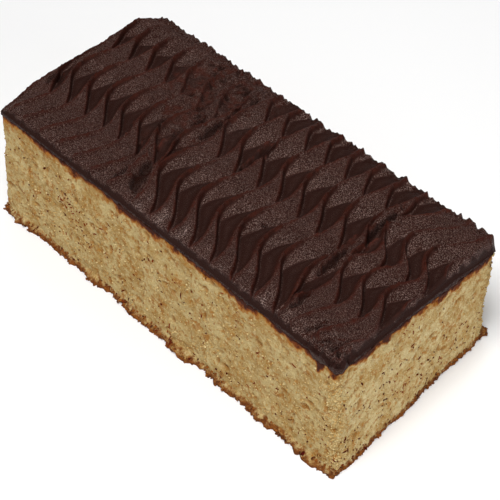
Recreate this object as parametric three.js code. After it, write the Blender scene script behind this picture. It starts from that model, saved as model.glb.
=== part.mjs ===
// Iced banana bar cake: a hand-cut block of banana sponge, a little askew, under a thick layer of
// dark icing. The icing was combed across the cake in three passes of wavy strokes.
// Millimetres, +Z up, +X along the cake, -Y its near long side, origin under its middle.

import * as THREE from 'three';

// ---------------------------------------------------------------- driving dimensions

const LENGTH = 186;              // nominal plan of the block, before it is set askew
const WIDTH = 87;
const COLOURS = { sponge: 0xb59b62, icing: 0x34211d };

// Where each corner of the block really is: its shift from the nominal plan at the foot and at
// the top of the sponge, and the sponge's height there. The four heights lie in one plane.
const CORNERS = {
  nearLeft: { foot: [0.5, -0.5], top: [1.6, 1.6], height: 51.4 },
  nearRight: { foot: [4.0, -1.1], top: [1.5, 0.3], height: 55.4 },
  farRight: { foot: [-4.2, 0.6], top: [-2.1, -0.2], height: 49.2 },
  farLeft: { foot: [-3.4, 1.0], top: [-2.0, 0.0], height: 45.2 },
};
const RADII = { nearLeft: 1.8, nearRight: 2.2, farRight: 2.4, farLeft: 11 };   // upright corners

const SPONGE_STEPS = { around: 132, up: 12 };
const CRUMB = { relief: 0.55, lump: 7 };         // how far the cut crumb stands in and out, and its lumps
const CRUST = { height: 3, longSide: 1.7, end: 0.4, uneven: 0.7 };   // the browned foot, how far it spreads
const FIRST_LOOP = 0.6;          // share of the crust's height at the first loop above the foot
const CHIP = { depth: 1.8, reach: 7, lump: 3.5 };      // crumbs broken off the upright corners at the right
const CORNER_TURN = 4;           // over which the way out of the block turns round a corner

// Where the crust bulges out of the near side's foot: centre along X, reach, how far.
const FOOT_BULGES = [
  { x: -38, reach: 5, out: 1.8 },
  { x: 16, reach: 9, out: 2.2 },
  { x: 80, reach: 6, out: 1.4 },
];

const ICING_GAP = 0.3;           // between the sponge and the icing
const OVERHANG = 0.5;            // the icing's rim stands proud of the sponge
const TROUGH = 2.5;              // icing left under the deepest strokes
const CREST = 6.4;               // icing at the crests between them
const RIM = { height: 2.1, reach: 2.4 };         // the near side's cut rim, where the strokes fade
const END_REACH = 2.4;           // over which the icing falls to the cut right end
const END_HEIGHTS = [[-1, 1.4], [10, 1.8], [24, 3], [46, 2.8], [60, 1.9], [75, 1.7], [89, 1.6]];
const LEFT_ROLL = { height: 1.2, reach: 8, length: 24 };      // thins at the near left corner
const FAR_SIDE = { ridge: 0.62, reach: 12, rise: 2.0 };      // lower ridges on thicker icing at the far side
const LEAST_ICING = 1;           // left at the bottom of the deepest tear
const ICING_STEPS = { perTrough: 6, rows: 38 };
const LEAST_STEP = 0.28;         // between two columns where a crest runs off an end
const LEAST_SHARE = 0.04;        // of a trough between two columns

// Across a trough, in shares of its width: the steep edge of the newer stroke, the bank up to the
// next crest where no hollow is open, and how far the edge has moved where a facet ends in its tip.
const EDGE = 0.11;
const BANK = 0.09;
const TIP = 0.06;
const FALL = { edge: 1.6, side: 1.5, facet: 2.2, moves: 1.2, rises: 1.3 };     // powers of the curves below
const FIRST_FACET = 34;          // length of the facet that runs off the far side
const CREST_SAG = { depth: 0.2, after: 2, before: 5 };       // a crest is lower between its hollows
const CREST_WANDER = { reach: 0.45, size: 9, apart: 37 };    // how unsteadily the comb was led
const FLAT_SHARE = 0.75;         // level of the icing where a pass's strokes fade out
const FULL_WIDTH = { share: 0.75, power: 0.7 };      // a trough under this share of the pitch is shallower

// A pass of the comb, from the cake's left end to its right. The crests repeat by the pitch and
// swing together along X, through turning points [distance from the far side, shift]. Each trough
// is a row of leaf-shaped facets with a hollow beside each: [where it opens, its widest place,
// where it closes], from the far side. The lens says how slowly it opens.
const PASSES = [
  {
    first: -90, pitch: 10, crests: 7, lens: 1.7, fadesIn: [3, 9],
    swing: [[-4, 4.6], [8, 4], [19, 4.5], [44, 0], [66.5, 5.8], [91, -0.5]],
    hollows: [[-24, -18, -8], [11, 18.6, 31], [37, 52.6, 68], [71, 96, 112]],
  },
  {
    first: -24, pitch: 11.1, crests: 8, lens: 0.8, fadesIn: [-9, 0],
    swing: [[-4, 5.6], [2, 4.2], [24, 0.4], [38, 3.2], [59, 0], [82, 7.4], [91, 8]],
    hollows: [[-14, 1, 18.8], [22, 28.8, 48.5], [52.5, 66.6, 88], [97, 103, 110]],
  },
  {
    first: 58.9, pitch: 10.1, crests: 4, lens: 0.9, fadesIn: [-9, 0],
    swing: [[-3, 13], [3, 9.8], [22, 0], [35.5, 6.3], [46.5, 2.1], [62, 5.5], [85, -1], [91, -1.5]],
    hollows: [[-24, -18, -8], [20.5, 25.8, 43], [44.4, 51.6, 69], [74, 94, 112]],
  },
];

// Places where the comb tore the icing or left it lumpy: centre, reach along X and Y, depth.
const TEARS = [
  { x: 0.5, y: 18, across: 1.5, along: 12, depth: 2.2 },
  { x: 58.5, y: 27, across: 1.2, along: 12, depth: 2.2 },
  { x: 60.5, y: -5, across: 1.2, along: 7, depth: 2.6 },
  { x: 64, y: -36, across: 1.3, along: 4, depth: 1.6 },
  { x: -31, y: 8, across: 1.6, along: 4, depth: 1.6 },
  { x: -24.5, y: 33, across: 1.3, along: 4, depth: 1.8 },
];
const LUMPY = { x: -38, y: 26, across: 17, along: 24, relief: 1.1, size: 6, worn: 0.9 };

// ---------------------------------------------------------------- small helpers

const clamp01 = (t) => THREE.MathUtils.clamp(t, 0, 1);
const smooth = (t) => THREE.MathUtils.smoothstep(t, 0, 1);
const mix = THREE.MathUtils.lerp;

// A value that swings smoothly from each turning point to the next.
function through(points, at) {
  let i = 0;
  while (i < points.length - 2 && at > points[i + 1][0]) i += 1;
  const [from, to] = [points[i], points[i + 1]];
  const t = clamp01((at - from[0]) / (to[0] - from[0]));
  const swung = (1 - Math.cos(Math.PI * t)) / 2;
  return mix(from[1], to[1], swung);
}

// A fixed random value in -1..1 for each whole-number place, the same on every run.
function dice(i, j, k) {
  let h = Math.imul(i, 374761393) + Math.imul(j, 668265263) + Math.imul(k, 2147483647);
  h = Math.imul(h ^ (h >>> 13), 1274126177);
  return ((h ^ (h >>> 16)) >>> 0) / 2147483648 - 1;
}

// Soft lumps of one size: the dice values blended between the corners of each cell.
function lumps(x, y, z, size) {
  const place = [x / size, y / size, z / size];
  const cell = place.map(Math.floor);
  const [tx, ty, tz] = place.map((p, n) => smooth(p - cell[n]));
  let sum = 0;
  for (let c = 0; c < 8; c += 1) {
    const [a, b, d] = [c & 1, (c >> 1) & 1, c >> 2];
    const share = (a ? tx : 1 - tx) * (b ? ty : 1 - ty) * (d ? tz : 1 - tz);
    sum += share * dice(cell[0] + a, cell[1] + b, cell[2] + d);
  }
  return sum;
}

// ---------------------------------------------------------------- the block's plan and heights

function cornerOf(x, y) {
  return (y < 0 ? 'near' : 'far') + (x < 0 ? 'Left' : 'Right');
}

// Bends the square corner of the nominal plan round to its radius, sides included.
function roundCorner(x, y, grow = 0) {
  const radius = RADII[cornerOf(x, y)] + grow;
  const [inX, inY] = [LENGTH / 2 + grow - radius, WIDTH / 2 + grow - radius];
  const a = (Math.abs(x) - inX) / radius;
  const b = (Math.abs(y) - inY) / radius;
  if (a <= 0 || b <= 0) return [x, y];
  const bentX = inX + radius * a * Math.sqrt(1 - (b * b) / 2);
  const bentY = inY + radius * b * Math.sqrt(1 - (a * a) / 2);
  return [Math.sign(x) * bentX, Math.sign(y) * bentY];
}

// A value given at the four corners, carried evenly across the plan.
function across(x, y, valueAt) {
  const u = x / LENGTH + 0.5;
  const v = y / WIDTH + 0.5;
  const near = mix(valueAt(CORNERS.nearLeft), valueAt(CORNERS.nearRight), u);
  const far = mix(valueAt(CORNERS.farLeft), valueAt(CORNERS.farRight), u);
  return mix(near, far, v);
}

// The point of the real, askew block for a nominal place: up is 0 at the foot, 1 at the top.
function askew(x, y, up) {
  const shift = [0, 1].map((n) => across(x, y, (c) => mix(c.foot[n], c.top[n], up)));
  return [x + shift[0], y + shift[1]];
}

// The top of the sponge is one tilted plane, set by three of its corners.
const spongePlane = (() => {
  const point = ([sx, sy, name]) => {
    const { top, height } = CORNERS[name];
    return new THREE.Vector3((sx * LENGTH) / 2 + top[0], (sy * WIDTH) / 2 + top[1], height);
  };
  const three = [[-1, -1, 'nearLeft'], [1, -1, 'nearRight'], [1, 1, 'farRight']].map(point);
  return new THREE.Plane().setFromCoplanarPoints(...three);
})();

function spongeTop(x, y) {
  const { normal, constant } = spongePlane;
  return -(normal.x * x + normal.y * y + constant) / normal.z;
}

// ---------------------------------------------------------------- closed bodies from loops

// Joins two loops of equal length with a band of triangles, the lower loop first.
function band(lower, upper, index) {
  for (let i = 0; i < lower.length; i += 1) {
    const j = (i + 1) % lower.length;
    index.push(lower[i], lower[j], upper[j], lower[i], upper[j], upper[i]);
  }
}

// Closes a flat loop, which runs anticlockwise seen from above, with a fan round a middle point.
function cap(loop, middle, points, index, facesUp) {
  const hub = points.push(middle) - 1;
  loop.forEach((here, i) => {
    const next = loop[(i + 1) % loop.length];
    index.push(...(facesUp ? [hub, here, next] : [hub, next, here]));
  });
}

function bodyGeometry(points, index) {
  const geometry = new THREE.BufferGeometry();
  geometry.setAttribute('position', new THREE.Float32BufferAttribute(points.flat(), 3));
  geometry.setIndex(index);
  geometry.computeVertexNormals();
  return geometry;
}

// ---------------------------------------------------------------- sponge

// Nominal places around the block, anticlockwise from the near left corner, with the way out.
function around(steps) {
  const perimeter = 2 * (LENGTH + WIDTH);
  const alongLength = Math.round((steps * LENGTH) / perimeter);
  const alongWidth = Math.round((steps * WIDTH) / perimeter);
  const places = [];
  for (let i = 0; i < alongLength; i += 1) places.push([mix(-0.5, 0.5, i / alongLength), -0.5]);
  for (let i = 0; i < alongWidth; i += 1) places.push([0.5, mix(-0.5, 0.5, i / alongWidth)]);
  for (let i = 0; i < alongLength; i += 1) places.push([mix(0.5, -0.5, i / alongLength), 0.5]);
  for (let i = 0; i < alongWidth; i += 1) places.push([-0.5, mix(0.5, -0.5, i / alongWidth)]);
  return places.map(([u, v]) => [u * LENGTH, v * WIDTH]);
}

// How far the browned foot spreads at a place round the block.
function crustFlare(x, y) {
  const onEnd = Math.abs(x) / LENGTH > Math.abs(y) / WIDTH;
  let flare = (onEnd ? CRUST.end : CRUST.longSide) * (1 + CRUST.uneven * lumps(x, y, 0, CRUMB.lump));
  if (!onEnd && y < 0) {
    for (const bulge of FOOT_BULGES) flare += bulge.out * Math.exp(-(((x - bulge.x) / bulge.reach) ** 2));
  }
  return flare;
}

// How far the crumb stands out at a place: lumps, a browned foot that spreads, chipped corners.
function crumbRelief(x, y, z) {
  const lump = CRUMB.relief * lumps(x, y, z, CRUMB.lump);
  const foot = crustFlare(x, y) * smooth((CRUST.height - z) / CRUST.height);
  const fromCorner = Math.hypot(LENGTH / 2 - x, WIDTH / 2 - Math.abs(y));
  const broken = smooth(1 - fromCorner / CHIP.reach) * Math.max(0, lumps(y, z, x, CHIP.lump));
  return lump + foot - CHIP.depth * broken;
}

// The level way out of the block: square off a side, and turning evenly round a corner.
function wayOut(x, y) {
  const outX = Math.sign(x) * Math.max(0, Math.abs(x) - LENGTH / 2 + CORNER_TURN);
  const outY = Math.sign(y) * Math.max(0, Math.abs(y) - WIDTH / 2 + CORNER_TURN);
  return new THREE.Vector2(outX, outY).normalize();
}

function spongeGeometry() {
  const points = [];
  const index = [];
  const places = around(SPONGE_STEPS.around);
  const loops = [];
  for (let level = 0; level <= SPONGE_STEPS.up; level += 1) {
    const up = level === 1 ? (FIRST_LOOP * CRUST.height) / CORNERS.nearLeft.height : level / SPONGE_STEPS.up;
    const loop = places.map(([x, y]) => {
      const rounded = roundCorner(x, y);
      const [px, py] = askew(...rounded, up);
      const z = up * spongeTop(px, py);
      const out = wayOut(x, y).multiplyScalar(crumbRelief(x, y, z));
      const [qx, qy] = [px + out.x, py + out.y];
      points.push([qx, qy, up * spongeTop(qx, qy)]);
      return points.length - 1;
    });
    if (loops.length) band(loops.at(-1), loop, index);
    loops.push(loop);
  }
  cap(loops[0], [0, 0, 0], points, index, false);
  cap(loops.at(-1), [0, 0, spongeTop(0, 0)], points, index, true);
  return bodyGeometry(points, index);
}

// ---------------------------------------------------------------- icing

// X of every crest at one distance from the far side, kept in order between the two ends.
function crestLines(fromFar) {
  const end = LENGTH / 2 + OVERHANG;
  const crests = PASSES.flatMap((pass, n) => {
    const swing = through(pass.swing, fromFar);
    return Array.from({ length: pass.crests }, (_, i) => {
      const line = CREST_WANDER.apart * (i + 11 * n);
      const wander = CREST_WANDER.reach * lumps(line, fromFar, 0, CREST_WANDER.size);
      return { pass: n, x: pass.first + pass.pitch * i + swing + wander };
    });
  });
  const room = LEAST_STEP * ICING_STEPS.perTrough;
  crests.forEach((crest, i) => {
    const before = i ? crests[i - 1].x : -end;
    crest.x = Math.max(crest.x, before + room);
  });
  crests.forEach((crest, i) => {
    crest.x = Math.min(crest.x, end - room * (crests.length - i));
  });
  return crests;
}

// Level of a facet along its length: nearly flush with its crests at first, then diving.
const sunk = (t) => 1 - clamp01(t) ** FALL.facet;

// How a pass's troughs are shaped at one distance from the far side. The newer stroke's edge leaves
// the left crest as a hollow opens and reaches the right crest where it closes. The hollow's line
// runs from the right crest to its widest place, and back with the edge.
function strokeAt(pass, fromFar) {
  let k = 0;
  while (k < pass.hollows.length - 2 && fromFar >= pass.hollows[k + 1][0]) k += 1;
  const [opens, widest, closes] = pass.hollows[k];
  const [nextOpens, nextWidest] = pass.hollows[k + 1];
  const start = k ? pass.hollows[k - 1][0] : opens - FIRST_FACET;
  const opening = clamp01((fromFar - opens) / (widest - opens));
  const closing = clamp01((fromFar - widest) / (closes - widest));
  const edge = TIP * opening ** 2 + (1 - TIP) * closing ** FALL.moves;
  const line = closing > 0 ? Math.max(edge, TIP) + EDGE : mix(1 - BANK, TIP + EDGE, opening ** pass.lens);
  const facetAt = (place) => sunk((place - opens) / (nextWidest - opens));
  let floor = sunk((fromFar - start) / (widest - start));
  if (closing > 0) floor = mix(0, facetAt(closes), closing ** FALL.rises);
  if (closing >= 1) floor = facetAt(fromFar);
  const lowest = nextOpens - CREST_SAG.before;
  const falls = smooth((fromFar - opens - CREST_SAG.after) / (lowest - opens - CREST_SAG.after));
  const sag = falls * (1 - smooth((fromFar - lowest) / CREST_SAG.before));
  const crest = 1 - CREST_SAG.depth * sag;
  const idle = 1 - smooth((fromFar - closes) / (nextOpens - closes));
  const bend = closing < 1 ? edge : idle;
  return { edge, bend, line: Math.min(line, 1 - BANK), facet: facetAt(fromFar), floor, crest };
}

// Height across a trough, 1 at its crests: from the left crest down to the facet, down the edge to
// the floor, and up the hollow's side to the right crest.
function strokeShare(t, { edge, line, facet, floor, crest }, nextCrest) {
  const fall = (s) => (1 - clamp01(s)) ** FALL.edge;
  const upper = (at) => facet + Math.max(0, crest - facet) * fall(at / EDGE);
  const share = t < edge ? upper(t) : floor + (upper(edge) - floor) * fall((t - edge) / EDGE);
  const side = clamp01((t - line) / (1 - line));
  return Math.min(1, share + Math.max(0, nextCrest - floor) * side ** FALL.side);
}

// The columns across a trough stand on what bends: the crest and its flank, the edge's top and
// foot, and the line. Where no edge is left, its two columns go back from right to left.
function columnShares({ bend, line }, width) {
  const least = Math.max(LEAST_SHARE, LEAST_STEP / width);
  const shares = [0, Math.min(bend / 2, EDGE), bend, bend + EDGE, line, (line + 1) / 2];
  shares.forEach((t, i) => {
    shares[i] = i ? Math.max(t, shares[i - 1] + least) : t;
  });
  return shares.map((t, i) => Math.min(t, 1 - least * (shares.length - i)));
}

// How much of the comb's work is lost in the lumpy place: 1 in its middle.
function lumpiness(x, y) {
  const away = ((x - LUMPY.x) / LUMPY.across) ** 2 + ((y - LUMPY.y) / LUMPY.along) ** 2;
  return Math.exp(-away);
}

// Height of the icing over the sponge, before tears: share is 0 in the deepest hollow, 1 at a crest.
function combedHeight(x, y, share) {
  const ridge = (CREST - TROUGH) * mix(FAR_SIDE.ridge, 1, smooth((WIDTH / 2 - y) / FAR_SIDE.reach));
  const worn = 1 - LUMPY.worn * lumpiness(x, y);
  const combed = TROUGH + ridge * mix(0.5, share, worn) + FAR_SIDE.rise * smooth((2 * y) / WIDTH);
  const fromNear = smooth((y + WIDTH / 2 + OVERHANG) / RIM.reach);
  const fromLeft = smooth((x + LENGTH / 2 + OVERHANG) / LEFT_ROLL.reach);
  const pastRoll = smooth((y + WIDTH / 2) / LEFT_ROLL.length);
  const rolled = mix(LEFT_ROLL.height, combed, mix(fromLeft, 1, pastRoll));
  const rim = mix(Math.min(RIM.height, rolled), rolled, fromNear);
  const atEnd = Math.min(through(END_HEIGHTS, WIDTH / 2 - y), rim);
  return mix(atEnd, rim, smooth((LENGTH / 2 + OVERHANG - x) / END_REACH));
}

function tornDepth(x, y) {
  let depth = 0;
  for (const tear of TEARS) {
    const away = ((x - tear.x) / tear.across) ** 2 + ((y - tear.y) / tear.along) ** 2;
    depth += tear.depth * Math.exp(-away);
  }
  return depth - LUMPY.relief * lumpiness(x, y) * lumps(x, y, 0, LUMPY.size);
}

// One row of the combed top, from the left end to the right: [x, height over the sponge].
function combedRow(y) {
  const fromFar = WIDTH / 2 - y;
  const end = LENGTH / 2 + OVERHANG;
  const crests = crestLines(fromFar);
  const strokes = PASSES.map((pass) => strokeAt(pass, fromFar));
  const row = [];
  for (let i = 0; i <= crests.length; i += 1) {
    const left = i ? crests[i - 1] : { pass: 0, x: -end };
    const right = crests[i] ?? { pass: left.pass, x: end };
    const pass = PASSES[left.pass];
    const width = right.x - left.x;
    const depth = Math.min(1, width / (FULL_WIDTH.share * pass.pitch)) ** FULL_WIDTH.power;
    const [begins, full] = pass.fadesIn;
    const shown = smooth((fromFar - begins) / (full - begins));
    for (const t of columnShares(strokes[left.pass], width)) {
      const share = strokeShare(t, strokes[left.pass], strokes[right.pass].crest);
      row.push([left.x + t * width, mix(FLAT_SHARE, 1 - depth * (1 - share), shown)]);
    }
  }
  row.push([end, 1]);
  return row.map(([x, share]) => [x, Math.max(LEAST_ICING, combedHeight(x, y, share) - tornDepth(x, y))]);
}

// Puts a nominal place of the icing on the block, at a height over the plane of its underside.
function onIcing(x, y, height) {
  const [px, py] = askew(...roundCorner(x, y, OVERHANG), 1);
  return [px, py, spongeTop(px, py) + height];
}

function icingGeometry() {
  const points = [];
  const index = [];
  const add = (point) => points.push(point) - 1;
  const half = WIDTH / 2 + OVERHANG;
  const rows = [];
  for (let r = 0; r <= ICING_STEPS.rows; r += 1) {
    const y = r ? mix(-half + RIM.reach, half, (r - 1) / (ICING_STEPS.rows - 1)) : -half;
    rows.push(combedRow(y).map(([x, height]) => ({ x, y, id: add(onIcing(x, y, height)) })));
  }
  for (let r = 0; r < ICING_STEPS.rows; r += 1) {
    for (let c = 0; c < rows[r].length - 1; c += 1) {
      const [a, b] = [rows[r][c].id, rows[r][c + 1].id];
      const [d, e] = [rows[r + 1][c].id, rows[r + 1][c + 1].id];
      index.push(a, b, e, a, e, d);
    }
  }
  const rim = [
    ...rows[0].slice(0, -1),
    ...rows.slice(0, -1).map((row) => row.at(-1)),
    ...rows.at(-1).slice(1).reverse(),
    ...rows.slice(1).map((row) => row[0]).reverse(),
  ];
  const underside = rim.map(({ x, y }) => add(onIcing(x, y, ICING_GAP)));
  band(underside, rim.map(({ id }) => id), index);
  cap(underside, onIcing(0, 0, ICING_GAP), points, index, false);
  return bodyGeometry(points, index);
}

// ---------------------------------------------------------------- the cake

function piece(name, geometry, colour, roughness) {
  const material = new THREE.MeshStandardMaterial({ color: colour, roughness, metalness: 0 });
  const mesh = new THREE.Mesh(geometry, material);
  mesh.name = name;
  return mesh;
}

const group = new THREE.Group();
group.add(piece('cake', spongeGeometry(), COLOURS.sponge, 0.95));
group.add(piece('icing', icingGeometry(), COLOURS.icing, 0.5));

// The origin goes under the middle of the finished block.
const box = new THREE.Box3().setFromObject(group);
const middle = box.getCenter(new THREE.Vector3());
group.position.set(-middle.x, -middle.y, -box.min.z);
group.updateMatrixWorld(true);

export default group;
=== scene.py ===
"""Iced banana bar cake, 193 mm long: a hand-cut block of speckled sponge under combed dark icing.

Millimetres are used for every size below and become metres where a mesh is made.
"""

import math

import bpy
import numpy as np
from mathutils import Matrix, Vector


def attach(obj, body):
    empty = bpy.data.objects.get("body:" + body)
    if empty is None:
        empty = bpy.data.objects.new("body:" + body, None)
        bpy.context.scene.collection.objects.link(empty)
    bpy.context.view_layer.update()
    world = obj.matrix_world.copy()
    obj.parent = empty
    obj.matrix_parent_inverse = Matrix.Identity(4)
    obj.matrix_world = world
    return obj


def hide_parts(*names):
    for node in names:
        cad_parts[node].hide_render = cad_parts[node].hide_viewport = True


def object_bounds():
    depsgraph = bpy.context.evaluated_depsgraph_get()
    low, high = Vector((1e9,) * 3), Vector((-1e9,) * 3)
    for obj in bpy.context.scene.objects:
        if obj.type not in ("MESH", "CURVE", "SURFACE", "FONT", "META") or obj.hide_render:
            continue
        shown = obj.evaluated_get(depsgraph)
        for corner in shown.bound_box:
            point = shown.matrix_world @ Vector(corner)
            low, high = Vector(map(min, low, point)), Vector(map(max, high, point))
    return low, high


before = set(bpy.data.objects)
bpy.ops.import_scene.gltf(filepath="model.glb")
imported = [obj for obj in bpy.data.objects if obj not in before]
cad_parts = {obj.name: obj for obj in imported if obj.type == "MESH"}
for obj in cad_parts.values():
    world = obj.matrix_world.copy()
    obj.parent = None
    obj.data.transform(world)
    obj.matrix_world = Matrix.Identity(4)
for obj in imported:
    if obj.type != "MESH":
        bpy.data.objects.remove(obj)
cad_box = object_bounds()

# ---------------------------------------------------------------- sponge
# A bar cut from a tray of banana sponge. The four sides are cut crumb with open pores, between a
# foot browned by the tin and the browned skin that the icing lies on. The cuts are a little askew.

LENGTH, WIDTH = 186.0, 87.0              # nominal plan, before the block is set askew
MIDDLE = (0.7102, -0.2946)               # the finished cake's middle, which is the frame's origin
# How far each corner is set askew at the foot and at the top, anticlockwise from the near left one,
# and how high the first three of them stand.
FOOT_SHIFT = np.array([[0.5, -0.5], [4.0, -1.1], [-4.2, 0.6], [-3.4, 1.0]])
TOP_SHIFT = np.array([[1.6, 1.6], [1.5, 0.3], [-2.1, -0.2], [-2.0, 0.0]])
TOP_HEIGHT = np.array([51.4, 55.4, 49.2])
RADII = {"near_left": 1.8, "near_right": 2.2, "far_right": 2.4, "far_left": 11.0}
AROUND = 2 * (LENGTH + WIDTH)
SIDE_STEPS, UP_STEPS = 900, 84           # points round the block, and rings of them
CRUST_HEIGHT = 3.0                       # of the browned foot
CRUST_FLARE = {"long_side": 1.7, "end": 0.4}
FOOT_BULGES = ((-38, 5, 1.8), (16, 9, 2.2), (80, 6, 1.4))      # centre along X, reach, how far out
CHIP_DEPTH, CHIP_REACH = 1.8, 7.0        # crumb broken off the two right corners
CORNER_TURN = 4.0                        # over which the way out of the block turns round a corner
FOOT_ROWS, FOOT_SHARE = 12, 0.085        # rows close together up to this share of the height
CRUMB_LUMPS = ((0.55, 7.0), (0.24, 2.6), (0.18, 1.5))          # height and size of the cut's soft lumps
FOOT_RAGS = ((0.7, 1.9), (0.8, 0.9))     # the same for the ragged edge of the browned foot
RAGS_ON_END = 0.4                        # how much of that raggedness the two ends have
# Open pores of three sizes: their cell, the chance that a cell has one, radius, depth, and how dark the
# painted shade down in it is.
PORES = ((7.0, 0.26, 1.5, 1.0, 1.0), (3.6, 0.40, 0.85, 0.55, 0.8), (2.0, 0.5, 0.5, 0.35, 0.55))
# The browned skin hangs down at the near right corner: how deep, how far along the near side and
# how far round the corner, and over what distances it sets in.
HANGING_SKIN = {"deep": 3.6, "along": 13.5, "round": 5.0, "ease_along": 1.5, "ease_round": 2.0}
MILLIMETRE = 0.001                       # in the frame's metres
BOX_MARGIN = 2e-5                        # metres that a point keeps inside the CAD model's box


def smooth(t):
    """Eases from 0 to 1: three t squared less two t cubed, held at both ends."""
    t = np.clip(t, 0.0, 1.0)
    return t * t * (3 - 2 * t)


def mix(a, b, t):
    """The straight blend from a to b."""
    return a + (b - a) * t


def bell(t, middle, reach):
    """A bell round its middle: e to the minus square of the distance over the reach."""
    return np.exp(-((t - middle) / reach) ** 2)


def dice(i, j, k):
    """A fixed random value in -1..1 for each whole-number place: the place hashed to 32 bits."""
    parts = [np.asarray(v).astype(np.int64) & 0xFFFFFFFF for v in (i, j, k)]
    h = (parts[0] * 374761393 + parts[1] * 668265263 + parts[2] * 2147483647) & 0xFFFFFFFF
    h = ((h ^ (h >> 13)) * 1274126177) & 0xFFFFFFFF
    return (h ^ (h >> 16)) / 2147483648.0 - 1


def lumps(x, y, z, size):
    """Soft lumps of one size: the dice values blended smoothly between the corners of each cell."""
    place = np.stack(np.broadcast_arrays(x, y, z)).astype(float) / size
    cell = np.floor(place)
    t = smooth(place - cell)
    total = np.zeros(place.shape[1:])
    for corner in np.ndindex(2, 2, 2):
        share = np.prod([t[n] if corner[n] else 1 - t[n] for n in range(3)], axis=0)
        total += share * dice(*(cell[n] + corner[n] for n in range(3)))
    return total


def pits(u, v, cell, chance, radius, seed):
    """Round pits scattered over a flat sheet, 1 at a pit's middle and 0 past its uneven rim: one
    place drawn in each square cell, and the deepest of the nine cells round each point."""
    iu, iv = np.floor(u / cell), np.floor(v / cell)
    deepest = np.zeros(np.broadcast(u, v).shape)
    for du, dv in np.ndindex(3, 3):
        cu, cv = iu + du - 1, iv + dv - 1
        at_u = (cu + 0.5 + 0.4 * dice(cu, cv, seed)) * cell
        at_v = (cv + 0.5 + 0.4 * dice(cu, cv, seed + 1)) * cell
        size = radius * (1 + 0.45 * dice(cu, cv, seed + 2))
        stretch = 1 + 0.4 * dice(cu, cv, seed + 3)
        away = np.hypot((u - at_u) / stretch, (v - at_v) * stretch) / size
        there = dice(cu, cv, seed + 4) < 2 * chance - 1
        deepest = np.maximum(deepest, np.where(there, smooth(1.25 - away), 0.0))
    return deepest


def round_corner(x, y, grow=0.0):
    """Bends the square corner of the plan to its radius, as a square is bent to a disc: each
    coordinate within the corner shrinks by the root of one less half the other's square."""
    radius = np.where(
        y < 0,
        np.where(x < 0, RADII["near_left"], RADII["near_right"]),
        np.where(x < 0, RADII["far_left"], RADII["far_right"]),
    ) + grow
    in_x, in_y = LENGTH / 2 + grow - radius, WIDTH / 2 + grow - radius
    a = np.maximum(0.0, (np.abs(x) - in_x) / radius)
    b = np.maximum(0.0, (np.abs(y) - in_y) / radius)
    both = (a > 0) & (b > 0)
    bent_x = np.sign(x) * (in_x + radius * a * np.sqrt(np.maximum(0.0, 1 - b * b / 2)))
    bent_y = np.sign(y) * (in_y + radius * b * np.sqrt(np.maximum(0.0, 1 - a * a / 2)))
    return np.where(both, bent_x, x), np.where(both, bent_y, y)


def askew(x, y, up):
    """The point of the askew block for a place in the plan: the four corners' shifts, blended
    across the plan, and from the foot to the top by up."""
    u, v = x / LENGTH + 0.5, y / WIDTH + 0.5
    shares = ((1 - u) * (1 - v), u * (1 - v), u * v, (1 - u) * v)
    shift = [
        sum(share * mix(FOOT_SHIFT[c, n], TOP_SHIFT[c, n], up) for c, share in enumerate(shares))
        for n in (0, 1)
    ]
    return x + shift[0], y + shift[1]


def sponge_plane():
    """The tilted plane of the sponge's top through three of its corners: z = a x + b y + c."""
    plan = np.array([[-LENGTH, -WIDTH], [LENGTH, -WIDTH], [LENGTH, WIDTH]]) / 2 + TOP_SHIFT[:3]
    return np.linalg.solve(np.column_stack([plan, np.ones(3)]), TOP_HEIGHT)


PLANE = sponge_plane()


def sponge_top(x, y):
    """Height of the sponge's top over a point."""
    return PLANE[0] * x + PLANE[1] * y + PLANE[2]


def outline(along):
    """The plan's edge at a distance along it, anticlockwise from the near left corner."""
    stops = np.array([0, LENGTH, LENGTH + WIDTH, 2 * LENGTH + WIDTH, AROUND])
    along = np.mod(along, AROUND)
    x = np.interp(along, stops, np.array([-1, 1, 1, -1, -1]) * LENGTH / 2)
    y = np.interp(along, stops, np.array([-1, -1, 1, 1, -1]) * WIDTH / 2)
    return x, y


def way_out(x, y):
    """The level direction out of the block: straight off a side, turning evenly round a corner."""
    out_x = np.sign(x) * np.maximum(0, np.abs(x) - LENGTH / 2 + CORNER_TURN)
    out_y = np.sign(y) * np.maximum(0, np.abs(y) - WIDTH / 2 + CORNER_TURN)
    size = np.hypot(out_x, out_y)
    return out_x / size, out_y / size


def at_end(x, y):
    """Whether a place at the plan's edge lies on one of the two ends."""
    return np.abs(x) / LENGTH > np.abs(y) / WIDTH


def crust_flare(x, y):
    """How far the browned foot spreads: more on the long sides, with three bulges at the near one."""
    spread = np.where(at_end(x, y), CRUST_FLARE["end"], CRUST_FLARE["long_side"])
    flare = spread * (1 + 0.7 * lumps(x, y, 0.0, 7.0))
    for centre, reach, out in FOOT_BULGES:
        flare = flare + np.where(~at_end(x, y) & (y < 0), out * bell(x, centre, reach), 0.0)
    return flare


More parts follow.
